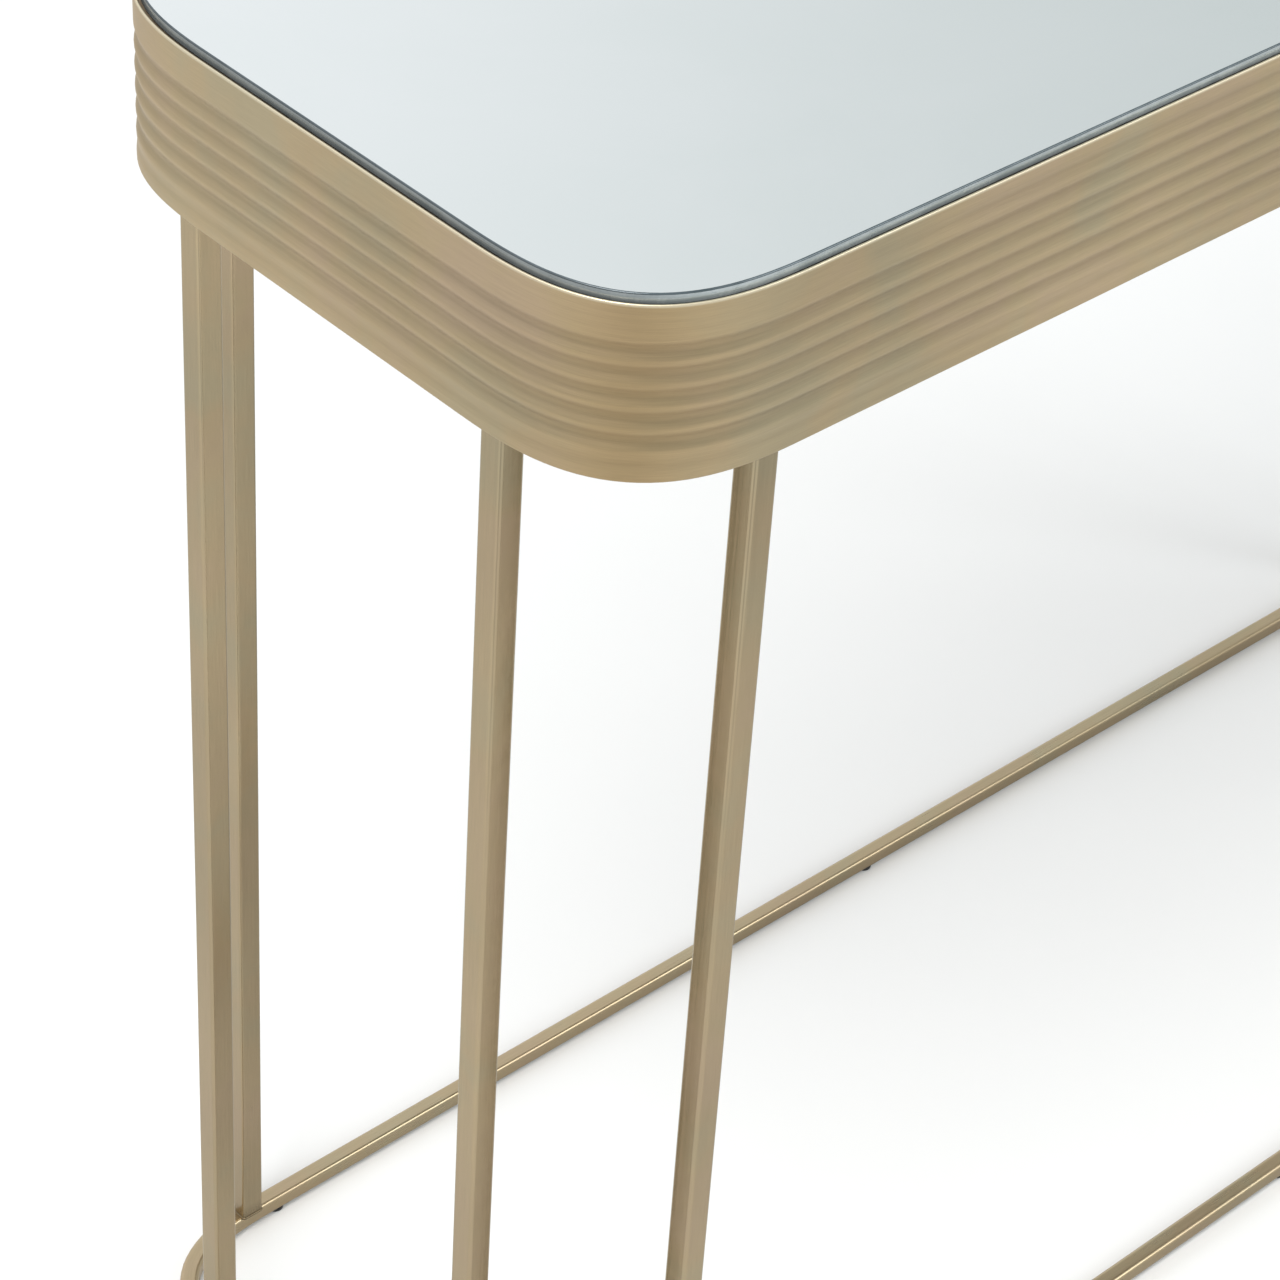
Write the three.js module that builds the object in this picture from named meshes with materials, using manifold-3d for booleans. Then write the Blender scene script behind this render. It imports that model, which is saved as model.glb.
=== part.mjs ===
// Mirror-topped dressing console: a brass-finished square-tube frame with a ribbed apron band.
// Millimetres, +X along the length, +Y towards the back, +Z up, origin on the floor under the middle.
import * as THREE from "three";
import Module from "manifold-3d";
import { mergeVertices } from "three/addons/utils/BufferGeometryUtils.js";

const wasm = await Module();
wasm.setup();

// ---- driving dimensions ----------------------------------------------------------------------
const LENGTH = 1070; // over the apron
const DEPTH = 342; // over the apron, front to back
const CORNER_R = 96; // reach of the soft corner along each side
const CORNER_POWER = 2.9; // 2 is a circle, larger is squarer
const CORNER_STEPS = 8;

const RIM_Z = 763; // top edge of the apron sheet
const APRON_H = 78;
const SHEET = 1.2; // apron sheet thickness
const RIB_COUNT = 5;
const RIB_START = 0.19 * APRON_H; // plain band above the first groove
const RIB_PITCH = 0.1275 * APRON_H;
const RIB_DEPTH = 1.2;
const RIB_STEPS = 4; // facets per rib
const LAST_DIP = 0.35; // depth of the last, soft groove against the others

const TUBE = 12.5; // square tube of the legs, outside
const RING = 9.5; // square tube of the base ring, outside
const TUBE_WALL = 1.2;
const TUBE_ROUND = 1.4;
const TUBE_RECESS = 3.4; // tube's outer face behind the apron's outer face
const LEG_OFFSET = 70.8; // from the sharp corner to the near face of each leg
const BASE_Z = 2; // underside of the base ring, on its glides

const GLASS_T = 5;
const GLASS_PROUD = 3.5; // glass top above the rim
const GLASS_INSET = 2.4;
const GLASS_ARRIS = 0.6;
const PAD_T = 1.5; // adhesive pads under the glass
const PAD_R = 28;
const BOARD_T = 12;
const BOARD_INSET = 2.0;

const BAR_T = 3; // flat bars under the board
const BAR_W = 22;
const BAR_INSET = 3.2;
const BAR_OVERRUN = 26; // how far the short bars run past the leg faces
const CROSS_X = [-270, 0, 270];
const SCREW_X = [-330, 110, 330];

const SCREW_R = 1.75;
const SCREW_LEN = 9; // shank above the head
const SCREW_HEAD_R = 4;
const SCREW_HEAD_T = 2.2;
const SCREW_GAP = 0.3;
const GLIDE_R = 4.4;

const BRASS = { color: 0xb5a27c, roughness: 0.38, metalness: 1.0 };
const STEEL = { color: 0x77797a, roughness: 0.5, metalness: 0.9 };
const GLASS = { color: 0xd8e0e2, roughness: 0.04, metalness: 1.0 };
const BOARD = { color: 0x8d7556, roughness: 0.85, metalness: 0.0 };
const MASTIC = { color: 0x2f3032, roughness: 0.8, metalness: 0.0 };
const GLIDE = { color: 0x1d1d1e, roughness: 0.6, metalness: 0.0 };

const HALF_X = LENGTH / 2;
const HALF_Y = DEPTH / 2;
const STRAIGHT_X = HALF_X - CORNER_R; // half-length of the straight runs
const STRAIGHT_Y = HALF_Y - CORNER_R;
const BAR_TOP = RIM_Z + GLASS_PROUD - GLASS_T - PAD_T - BOARD_T;
const LEG_TOP = BAR_TOP - BAR_T;
const LEG_FOOT = BASE_Z + RING;

const table = new THREE.Group();
table.name = "mirror_top_console";

function addMesh(name, geometry, look, parent = table) {
  const mesh = new THREE.Mesh(geometry, new THREE.MeshStandardMaterial(look));
  mesh.name = name;
  parent.add(mesh);
  return mesh;
}

// ---- plan outline ----------------------------------------------------------------------------
// Stations round one soft corner; (sx, sy) says which corner. nx, ny point into the table.
function cornerStations(sx, sy, steps = CORNER_STEPS) {
  const stations = [];
  for (let i = 0; i <= steps; i++) {
    const a = (i / steps) * (Math.PI / 2);
    const c = i === steps ? 0 : Math.cos(a);
    const s = i === 0 ? 0 : Math.sin(a);
    const reach = (c ** CORNER_POWER + s ** CORNER_POWER) ** (1 / CORNER_POWER);
    const u = c / reach;
    const v = s / reach;
    const gx = u ** (CORNER_POWER - 1);
    const gy = v ** (CORNER_POWER - 1);
    const g = Math.hypot(gx, gy);
    stations.push({
      x: sx * (STRAIGHT_X + CORNER_R * u),
      y: sy * (STRAIGHT_Y + CORNER_R * v),
      nx: (-sx * gx) / g,
      ny: (-sy * gy) / g,
    });
  }
  return stations;
}

// The whole outline moved inwards by inset, anticlockwise seen from above.
function outlineShape(inset) {
  const points = [];
  for (const [sx, sy] of [[1, 1], [-1, 1], [-1, -1], [1, -1]]) {
    const run = cornerStations(sx, sy).map(
      (s) => new THREE.Vector2(s.x + s.nx * inset, s.y + s.ny * inset),
    );
    points.push(...(sx * sy > 0 ? run : run.reverse()));
  }
  return new THREE.Shape(points);
}

const frontRun = (sy) => [
  { x: -STRAIGHT_X, y: sy * HALF_Y, nx: 0, ny: -sy },
  { x: STRAIGHT_X, y: sy * HALF_Y, nx: 0, ny: -sy },
];
const sideRun = (sx) => [
  { x: sx * HALF_X, y: -STRAIGHT_Y, nx: -sx, ny: 0 },
  { x: sx * HALF_X, y: STRAIGHT_Y, nx: -sx, ny: 0 },
];

// ---- sweep -----------------------------------------------------------------------------------
// Carries a closed profile of [inward distance, height] points, with an optional hole wound the
// other way, along the stations, and closes both ends.
function sweep(profile, hole, stations) {
  const loops = hole ? [profile, hole] : [profile];
  const ring = loops.flat();
  const positions = [];
  for (const s of stations)
    for (const [u, z] of ring) positions.push(s.x + s.nx * u, s.y + s.ny * u, z);

  const index = [];
  const quad = (a, b, c, d) => index.push(a, b, c, a, c, d);
  const last = (stations.length - 1) * ring.length;
  let start = 0;
  for (const loop of loops) {
    for (let k = 0; k < stations.length - 1; k++) {
      const here = k * ring.length + start;
      const next = here + ring.length;
      for (let i = 0; i < loop.length; i++) {
        const j = (i + 1) % loop.length;
        quad(here + i, here + j, next + j, next + i);
      }
    }
    start += loop.length;
  }
  const flat = loops.map((loop) => loop.map(([u, z]) => new THREE.Vector2(u, z)));
  for (const [a, b, c] of THREE.ShapeUtils.triangulateShape(flat[0], flat.slice(1)))
    index.push(a, c, b, last + a, last + b, last + c);

  if (signedVolume(positions, index) < 0)
    for (let i = 0; i < index.length; i += 3)
      [index[i + 1], index[i + 2]] = [index[i + 2], index[i + 1]];
  const geometry = new THREE.BufferGeometry();
  geometry.setAttribute("position", new THREE.Float32BufferAttribute(positions, 3));
  geometry.setIndex(index);
  geometry.computeVertexNormals();
  return geometry;
}

function signedVolume(positions, index) {
  const at = (i) => new THREE.Vector3().fromArray(positions, 3 * i);
  let sum = 0;
  for (let i = 0; i < index.length; i += 3)
    sum += at(index[i]).dot(at(index[i + 1]).cross(at(index[i + 2])));
  return sum / 6;
}

// ---- apron -----------------------------------------------------------------------------------
// Inward dip of the sheet at a distance down from the rim: five rounded grooves and a faint one.
function ribDip(down) {
  const t = (down - RIB_START) / RIB_PITCH;
  if (t <= 0 || t >= RIB_COUNT + 1) return 0;
  const depth = t < RIB_COUNT ? RIB_DEPTH : RIB_DEPTH * LAST_DIP;
  return (depth * (1 - Math.cos(2 * Math.PI * t))) / 2;
}

function apronProfile() {
  const downs = [0];
  for (let i = 0; i <= RIB_COUNT * RIB_STEPS; i++)
    downs.push(RIB_START + (i * RIB_PITCH) / RIB_STEPS);
  downs.push(RIB_START + (RIB_COUNT + 0.5) * RIB_PITCH);
  downs.push(RIB_START + (RIB_COUNT + 1) * RIB_PITCH, APRON_H);
  const outer = downs.map((d) => [ribDip(d), RIM_Z - d]);
  const inner = downs.map((d) => [ribDip(d) + SHEET, RIM_Z - d]).reverse();
  return [...outer, ...inner];
}

// ---- square tube -----------------------------------------------------------------------------
function roundedSquare(size, round, steps) {
  const points = [];
  const half = size / 2 - round;
  for (let q = 0; q < 4; q++) {
    const cx = half * (q === 0 || q === 3 ? 1 : -1);
    const cy = half * (q < 2 ? 1 : -1);
    for (let i = 0; i <= steps; i++) {
      const a = ((q + i / steps) * Math.PI) / 2;
      points.push([cx + round * Math.cos(a), cy + round * Math.sin(a)]);
    }
  }
  return points;
}
const tubeOuter = roundedSquare(TUBE, TUBE_ROUND, 3);
const tubeInner = roundedSquare(TUBE - 2 * TUBE_WALL, TUBE_ROUND - 1, 1).reverse();
const ringOuter = roundedSquare(RING, TUBE_ROUND, 3);
const ringInner = roundedSquare(RING - 2 * TUBE_WALL, TUBE_ROUND - 1, 1).reverse();

function baseTube(stations) {
  const place = (loop) =>
    loop.map(([a, b]) => [TUBE_RECESS + TUBE / 2 + a, BASE_Z + RING / 2 + b]);
  return sweep(place(ringOuter), place(ringInner), stations);
}

function legTube() {
  const shape = new THREE.Shape(tubeOuter.map(([x, y]) => new THREE.Vector2(x, y)));
  shape.holes.push(new THREE.Path(tubeInner.map(([x, y]) => new THREE.Vector2(x, y))));
  return new THREE.ExtrudeGeometry(shape, { depth: LEG_TOP - LEG_FOOT, bevelEnabled: false });
}

// ---- the frame: apron, legs and base ring ----------------------------------------------------
const corners = [
  ["front_left", -1, -1],
  ["front_right", 1, -1],
  ["back_left", -1, 1],
  ["back_right", 1, 1],
];
const apron = apronProfile();
for (const [name, sy] of [["front", -1], ["back", 1]]) {
  addMesh("apron_" + name, sweep(apron, null, frontRun(sy)), BRASS);
  addMesh("base_rail_" + name, baseTube(frontRun(sy)), BRASS);
}
for (const [name, sx] of [["left", -1], ["right", 1]]) {
  addMesh("apron_" + name, sweep(apron, null, sideRun(sx)), BRASS);
  addMesh("base_rail_" + name, baseTube(sideRun(sx)), BRASS);
}
for (const [name, sx, sy] of corners) {
  const stations = cornerStations(sx, sy);
  addMesh("apron_corner_" + name, sweep(apron, null, stations), BRASS);
  addMesh("base_corner_" + name, baseTube(stations), BRASS);

  const along = LEG_OFFSET + TUBE / 2;
  const inward = TUBE_RECESS + TUBE / 2;
  const longLeg = addMesh("leg_" + name + "_long_side", legTube(), BRASS);
  longLeg.position.set(sx * (HALF_X - along), sy * (HALF_Y - inward), LEG_FOOT);
  const endLeg = addMesh("leg_" + name + "_end", legTube(), BRASS);
  endLeg.position.set(sx * (HALF_X - inward), sy * (HALF_Y - along), LEG_FOOT);
}

// ---- flat bars that carry the board ----------------------------------------------------------
function flatBar(sizeX, sizeY, holes) {
  const shape = new THREE.Shape([
    new THREE.Vector2(-sizeX / 2, -sizeY / 2),
    new THREE.Vector2(sizeX / 2, -sizeY / 2),
    new THREE.Vector2(sizeX / 2, sizeY / 2),
    new THREE.Vector2(-sizeX / 2, sizeY / 2),
  ]);
  for (const [x, y] of holes) {
    const hole = new THREE.Path();
    hole.absarc(x, y, SCREW_R + SCREW_GAP, 0, 2 * Math.PI, true);
    shape.holes.push(hole);
  }
  return new THREE.ExtrudeGeometry(shape, {
    depth: BAR_T,
    bevelEnabled: false,
    curveSegments: 8,
  });
}
const screwSpots = [];
const longBarHalf = HALF_X - LEG_OFFSET;
const longBarY = HALF_Y - BAR_INSET - BAR_W / 2;
const endBarX = HALF_X - BAR_INSET - BAR_W / 2;
const endBarHalf = HALF_Y - LEG_OFFSET;
for (const [name, sy] of [["front", -1], ["back", 1]]) {
  const bar = flatBar(2 * longBarHalf, BAR_W, SCREW_X.map((x) => [x, 0]));
  addMesh("support_bar_" + name, bar, STEEL).position.set(0, sy * longBarY, LEG_TOP);
  screwSpots.push(...SCREW_X.map((x) => [x, sy * longBarY]));
}
for (const [name, sx] of [["left", -1], ["right", 1]]) {
  const bar = flatBar(BAR_W, 2 * endBarHalf, [[0, 0]]);
  addMesh("support_bar_" + name, bar, STEEL).position.set(sx * endBarX, 0, LEG_TOP);
  screwSpots.push([sx * endBarX, 0]);
}
CROSS_X.forEach((x, i) => {
  const span = 2 * (longBarY - BAR_W / 2);
  const bar = flatBar(BAR_OVERRUN, span, []);
  addMesh("cross_bar_" + (i + 1), bar, STEEL).position.set(x, 0, LEG_TOP);
});

// ---- board with blind screw holes ------------------------------------------------------------
function toSolid(geometry) {
  const bare = geometry.clone();
  bare.deleteAttribute("normal");
  bare.deleteAttribute("uv");
  const merged = mergeVertices(bare, 1e-4);
  return new wasm.Manifold(
    new wasm.Mesh({
      numProp: 3,
      vertProperties: new Float32Array(merged.attributes.position.array),
      triVerts: new Uint32Array(merged.index.array),
    }),
  );
}
function toGeometry(solid) {
  const mesh = solid.getMesh();
  const geometry = new THREE.BufferGeometry();
  geometry.setAttribute("position", new THREE.BufferAttribute(mesh.vertProperties, 3));
  geometry.setIndex(new THREE.BufferAttribute(mesh.triVerts, 1));
  geometry.computeVertexNormals();
  return geometry;
}
const boardBlank = new THREE.ExtrudeGeometry(outlineShape(BOARD_INSET), {
  depth: BOARD_T,
  bevelEnabled: false,
});
const holeDepth = SCREW_LEN - BAR_T + 1;
let board = toSolid(boardBlank);
for (const [x, y] of screwSpots) {
  const drill = new THREE.CylinderGeometry(
    SCREW_R + SCREW_GAP, SCREW_R + SCREW_GAP, 2 * holeDepth, 12,
  );
  drill.rotateX(Math.PI / 2);
  drill.translate(x, y, 0);
  board = board.subtract(toSolid(drill));
}
addMesh("backing_board", toGeometry(board), BOARD).position.z = BAR_TOP;

// ---- screws, pads, glass and glides ----------------------------------------------------------
function screwGeometry() {
  const r = SCREW_HEAD_R;
  const h = SCREW_HEAD_T;
  const profile = [
    [0, -h], [0.55 * r, -0.95 * h], [0.9 * r, -0.6 * h], [r, -0.1 * h], [r, 0],
    [SCREW_R, 0], [SCREW_R, SCREW_LEN - 2], [0.2, SCREW_LEN - 0.2], [0, SCREW_LEN - 0.2],
  ].map(([x, y]) => new THREE.Vector2(x, y));
  const geometry = new THREE.LatheGeometry(profile, 12);
  geometry.rotateX(Math.PI / 2);
  return geometry;
}
screwSpots.forEach(([x, y], i) => {
  addMesh("board_screw_" + (i + 1), screwGeometry(), STEEL).position.set(x, y, LEG_TOP);
});

const PAD_SPOTS = [-340, 0, 340].flatMap((x) => [[x, -80], [x, 80]]);
PAD_SPOTS.forEach(([x, y], i) => {
  const pad = new THREE.CylinderGeometry(PAD_R, PAD_R, PAD_T, 20);
  pad.rotateX(Math.PI / 2);
  pad.translate(0, 0, PAD_T / 2);
  addMesh("mirror_pad_" + (i + 1), pad, MASTIC).position.set(x, y, BAR_TOP + BOARD_T);
});

const glass = new THREE.ExtrudeGeometry(outlineShape(GLASS_INSET), {
  depth: GLASS_T - 2 * GLASS_ARRIS,
  bevelEnabled: true,
  bevelThickness: GLASS_ARRIS,
  bevelSize: GLASS_ARRIS,
  bevelOffset: -GLASS_ARRIS,
  bevelSegments: 1,
});
addMesh("mirror_glass", glass, GLASS).position.z = RIM_Z + GLASS_PROUD - GLASS_T + GLASS_ARRIS;

const glideY = HALF_Y - TUBE_RECESS - TUBE / 2;
const glideSpots = [-1, 0, 1].flatMap((k) => [-1, 1].map((sy) => [k * STRAIGHT_X, sy * glideY]));
glideSpots.forEach(([x, y], i) => {
  const profile = [[0, 0], [GLIDE_R - 0.5, 0], [GLIDE_R, 0.5], [GLIDE_R, BASE_Z], [0, BASE_Z]];
  const glide = new THREE.LatheGeometry(profile.map((p) => new THREE.Vector2(...p)), 20);
  glide.rotateX(Math.PI / 2);
  addMesh("glide_" + (i + 1), glide, GLIDE).position.set(x, y, 0);
});

export default table;
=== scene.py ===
"""Mirror-topped dressing console: ribbed brass apron, paired square-tube legs, base ring."""
import math

import bpy
from mathutils import Matrix, Vector, noise


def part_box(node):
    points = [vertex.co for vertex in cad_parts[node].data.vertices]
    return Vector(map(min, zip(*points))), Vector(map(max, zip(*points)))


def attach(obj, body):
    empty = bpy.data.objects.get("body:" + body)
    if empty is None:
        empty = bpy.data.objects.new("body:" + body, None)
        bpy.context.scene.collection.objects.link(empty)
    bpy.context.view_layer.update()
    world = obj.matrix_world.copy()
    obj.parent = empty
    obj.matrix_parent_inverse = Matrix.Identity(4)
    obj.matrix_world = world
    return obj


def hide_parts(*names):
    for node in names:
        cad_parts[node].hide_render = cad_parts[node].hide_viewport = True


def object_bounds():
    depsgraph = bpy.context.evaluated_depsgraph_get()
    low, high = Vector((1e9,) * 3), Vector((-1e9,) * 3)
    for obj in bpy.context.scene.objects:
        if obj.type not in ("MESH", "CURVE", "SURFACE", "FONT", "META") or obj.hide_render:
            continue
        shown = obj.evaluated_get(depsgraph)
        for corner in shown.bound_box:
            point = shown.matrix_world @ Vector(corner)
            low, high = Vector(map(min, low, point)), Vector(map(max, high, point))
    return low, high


# ---- camera ------------------------------------------------------------------------------------
CAM_POS = Vector((-1.3207, -0.9906, 1.5202))
CAM_HEADING = math.radians(45.72)  # direction of sight in plan, from +X towards +Y
CAM_TILT = math.radians(37.94)  # below the horizon
CAM_ROLL = math.radians(3.91)
CAM_LENS = 109.6


def make_camera():
    forward = Vector((math.cos(CAM_TILT) * math.cos(CAM_HEADING),
                      math.cos(CAM_TILT) * math.sin(CAM_HEADING), -math.sin(CAM_TILT)))
    side = forward.cross(Vector((0, 0, 1))).normalized()
    up = side.cross(forward)
    c, s = math.cos(CAM_ROLL), math.sin(CAM_ROLL)
    right, top = c * side + s * up, c * up - s * side
    turn = Matrix((right, top, -forward)).transposed().to_4x4()
    cam = bpy.data.objects.new("camera", bpy.data.cameras.new("camera"))
    cam.data.lens = CAM_LENS
    cam.data.sensor_width = 36
    cam.data.dof.use_dof = False
    cam.matrix_world = Matrix.Translation(CAM_POS) @ turn
    bpy.context.scene.collection.objects.link(cam)
    bpy.context.scene.camera = cam


make_camera()
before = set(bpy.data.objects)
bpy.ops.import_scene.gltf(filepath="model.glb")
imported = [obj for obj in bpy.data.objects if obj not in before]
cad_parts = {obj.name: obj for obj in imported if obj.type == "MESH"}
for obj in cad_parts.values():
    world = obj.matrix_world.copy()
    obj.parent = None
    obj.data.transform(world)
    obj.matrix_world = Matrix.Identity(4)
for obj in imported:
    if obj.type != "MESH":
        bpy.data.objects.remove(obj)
cad_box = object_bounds()

# ---- sizes, some read from the frame's parts, the rest given -----------------------------------
MM = 0.001
CORNERS = ("front_left", "front_right", "back_left", "back_right")
HIGH = cad_box[1]
HALF_X, HALF_Y = HIGH.x, HIGH.y
APRON_LOW, APRON_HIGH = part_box("apron_front")
RIM_Z, APRON_H = APRON_HIGH.z, APRON_HIGH.z - APRON_LOW.z
STRAIGHT_X = APRON_HIGH.x
STRAIGHT_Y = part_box("apron_left")[1].y
CORNER_R = HALF_X - STRAIGHT_X
CORNER_POWER = 2.9
SHEET = 1.2 * MM
RIB_COUNT = 5
RIB_START = 0.19 * APRON_H
RIB_PITCH = 0.1275 * APRON_H
RIB_DEPTH = 1.3 * MM
LAST_DIP = 0.35  # depth of the last, soft groove against the others
TOP_GROOVE = 0.7  # depth of the groove above the others, found only along the long sides
TOP_GROOVE_START, TOP_GROOVE_RUN = 15 * MM, 90 * MM  # from the straight run's end, and to full depth
STATION_GAP = 20 * MM  # between cross-sections on the straight runs
SCREW_HEAD_T = 2.2 * MM
RAIL_LOW, RAIL_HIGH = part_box("base_rail_front")
RING = RAIL_HIGH.z - RAIL_LOW.z
RING_ROUND = 2.1 * MM
LEG_LOW, LEG_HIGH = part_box("leg_front_left_end")
TUBE = LEG_HIGH.x - LEG_LOW.x
TUBE_ROUND = 1.7 * MM
# Strength of the painted highlight along the tubes' rounded edges.
TUBE_EDGE_HIGHLIGHT = 0.10
TUBE_MID = RAIL_LOW.y + HALF_Y + RING / 2  # tube's centre line behind the apron's face


# ---- node helpers ------------------------------------------------------------------------------
class Nodes:
    """A material and short calls for the nodes in it."""

    def __init__(self, name):
        self.mat = bpy.data.materials.new(name)
        self.mat.use_nodes = True
        self.tree = self.mat.node_tree
        self.shader = self.tree.nodes["Principled BSDF"]

    def add(self, kind, **settings):
        node = self.tree.nodes.new(kind)
        for key, value in settings.items():
            setattr(node, key, value)
        return node

    def link(self, a, b):
        self.tree.links.new(a, b)

    def coords(self, output, scale):
        tc = self.add("ShaderNodeTexCoord")
        mapping = self.add("ShaderNodeMapping")
        mapping.inputs["Scale"].default_value = scale
        self.link(tc.outputs[output], mapping.inputs["Vector"])
        return mapping.outputs["Vector"]

    def noise(self, vector, scale, detail=3.0, rough=0.5, distortion=0.0):
        node = self.add("ShaderNodeTexNoise")
        node.inputs["Scale"].default_value = scale
        node.inputs["Detail"].default_value = detail
        node.inputs["Roughness"].default_value = rough
        node.inputs["Distortion"].default_value = distortion
        self.link(vector, node.inputs["Vector"])
        return node.outputs["Fac"]

    def ramp(self, fac, stops):
        node = self.add("ShaderNodeValToRGB")
        elements = node.color_ramp.elements
        while len(elements) < len(stops):
            elements.new(0.5)
        for element, (pos, colour) in zip(elements, stops):
            element.position = pos
            element.color = (*colour, 1)
        self.link(fac, node.inputs["Fac"])
        return node.outputs["Color"]

    def span(self, value, low, high, to_low, to_high):
        node = self.add("ShaderNodeMapRange")
        for key, v in (("From Min", low), ("From Max", high), ("To Min", to_low), ("To Max", to_high)):
            node.inputs[key].default_value = v
        self.link(value, node.inputs["Value"])
        return node.outputs["Result"]

    def mix(self, fac, a, b, blend="MIX"):
        node = self.add("ShaderNodeMix", data_type="RGBA", blend_type=blend)
        for socket, v in ((node.inputs[0], fac), (node.inputs[6], a), (node.inputs[7], b)):
            if isinstance(v, (int, float)):
                socket.default_value = v
            elif isinstance(v, tuple):
                socket.default_value = (*v, 1)
            else:
                self.link(v, socket)
        return node.outputs[2]

    def math(self, op, a, b):
        node = self.add("ShaderNodeMath", operation=op)
        for socket, v in zip(node.inputs, (a, b)):
            if isinstance(v, (int, float)):
                socket.default_value = v
            else:
                self.link(v, socket)
        return node.outputs[0]

    def bump(self, height, distance, strength=1.0, under=None):
        node = self.add("ShaderNodeBump")
        node.inputs["Distance"].default_value = distance
        node.inputs["Strength"].default_value = strength
        self.link(height, node.inputs["Height"])
        if under is not None:
            self.link(under, node.inputs["Normal"])
        return node.outputs["Normal"]

    def attribute(self, name):
        return self.add("ShaderNodeAttribute", attribute_name=name).outputs["Fac"]


# ---- materials ---------------------------------------------------------------------------------
# Painted shade in the apron's grooves: the colour is up to this share darker where a groove is deepest.
GROOVE_PAINTED_SHADE = 0.19
CORNER_PAINTED_SHADE = (0.410, 0.300, 0.160)  # painted shade: darker, more golden colour round the apron's corner bends
EDGE_PAINTED_HIGHLIGHT = (0.80, 0.73, 0.56)  # painted highlight on the apron's rim and the tubes' rounded edges
# Dark weld burn on the beads; the same colour is painted as shade up the foot of each leg, where it
# stands on the ring.
WELD_BURN_AND_SHADE = (0.10, 0.075, 0.045)


def brass(name, warm, cool, dull, rough, anisotropic):
    """Lacquered brass finish, brushed along the U direction of the piece."""
    n = Nodes(name)
    coarse = n.noise(n.coords("UV", (5, 520, 1)), 1.0, 5.0, 0.62)
    fine = n.noise(n.coords("UV", (60, 2600, 1)), 1.0, 3.0, 0.6)
    cloud = n.noise(n.coords("Object", (1, 1, 1)), 16.0, 4.0, 0.55, 0.4)
    patch = n.noise(n.coords("Object", (1, 1, 1)), 5.5, 2.0, 0.5)
    tint = n.ramp(cloud, [(0.34, cool), (0.5, warm), (0.68, dull)])
    tone = n.span(patch, 0.3, 0.7, 0.91, 1.08)
    streak = n.span(coarse, 0.3, 0.7, 0.95, 1.04)
    hair = n.span(fine, 0.3, 0.7, 0.94, 1.06)
    shade = n.math("MULTIPLY", n.math("MULTIPLY", tone, streak), hair)
    # Painted shade: the colour darkens with the depth of each groove.
    groove = n.math("MULTIPLY", n.attribute("groove"), -GROOVE_PAINTED_SHADE)
    shade = n.math("MULTIPLY", shade, n.math("ADD", groove, 1.0))
    # Painted highlight on the apron's rim and the tubes' edges.
    edge_highlight = n.attribute("edge")
    # Painted shade: darker, more golden colour round the apron's corner bends.
    corner_shaded_colour = n.mix(n.math("MULTIPLY", n.attribute("corner_shade_mask"), 0.8), tint, CORNER_PAINTED_SHADE)
    colour = n.mix(1.0, corner_shaded_colour, n.mix(0.0, shade, shade), "MULTIPLY")
    highlighted = n.mix(n.math("MULTIPLY", edge_highlight, 0.65), colour, EDGE_PAINTED_HIGHLIGHT)
    # Weld burn on the beads, and painted shade on the foot of each leg.
    weld = n.attribute("weld")
    n.link(n.mix(n.math("MULTIPLY", weld, 0.75), highlighted, WELD_BURN_AND_SHADE),
           n.shader.inputs["Base Color"])
    base = n.math("ADD", n.span(coarse, 0.3, 0.7, rough - 0.03, rough + 0.04),
                  n.span(cloud, 0.3, 0.7, -0.03, 0.03))
    n.link(n.math("ADD", base, n.math("MULTIPLY", weld, 0.2)), n.shader.inputs["Roughness"])
    n.shader.inputs["Metallic"].default_value = 1.0
    n.shader.inputs["Anisotropic"].default_value = anisotropic
    soft = n.bump(cloud, 0.0006, 0.35)
    n.link(n.bump(fine, 0.00002, 0.4, n.bump(coarse, 0.00003, 0.3, soft)),
           n.shader.inputs["Normal"])
    return n.mat


def mirror_face():
    """Silvered pane seen from above, with a faint haze and a slightly green tint."""
    n = Nodes("mirror_face")
    haze = n.noise(n.coords("Object", (1, 1, 1)), 7.0, 5.0, 0.6, 0.6)
    dust = n.noise(n.coords("Object", (1, 1, 1)), 420.0, 2.0, 0.5)
    n.link(n.ramp(haze, [(0.3, (0.750, 0.790, 0.790)), (0.7, (0.775, 0.808, 0.812))]),
           n.shader.inputs["Base Color"])
    n.link(n.math("ADD", n.span(haze, 0.3, 0.7, 0.035, 0.075), n.span(dust, 0.5, 0.8, 0.0, 0.02)),
           n.shader.inputs["Roughness"])
    n.shader.inputs["Metallic"].default_value = 1.0
    n.link(n.bump(haze, 0.0004, 0.12), n.shader.inputs["Normal"])
    return n.mat


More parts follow.
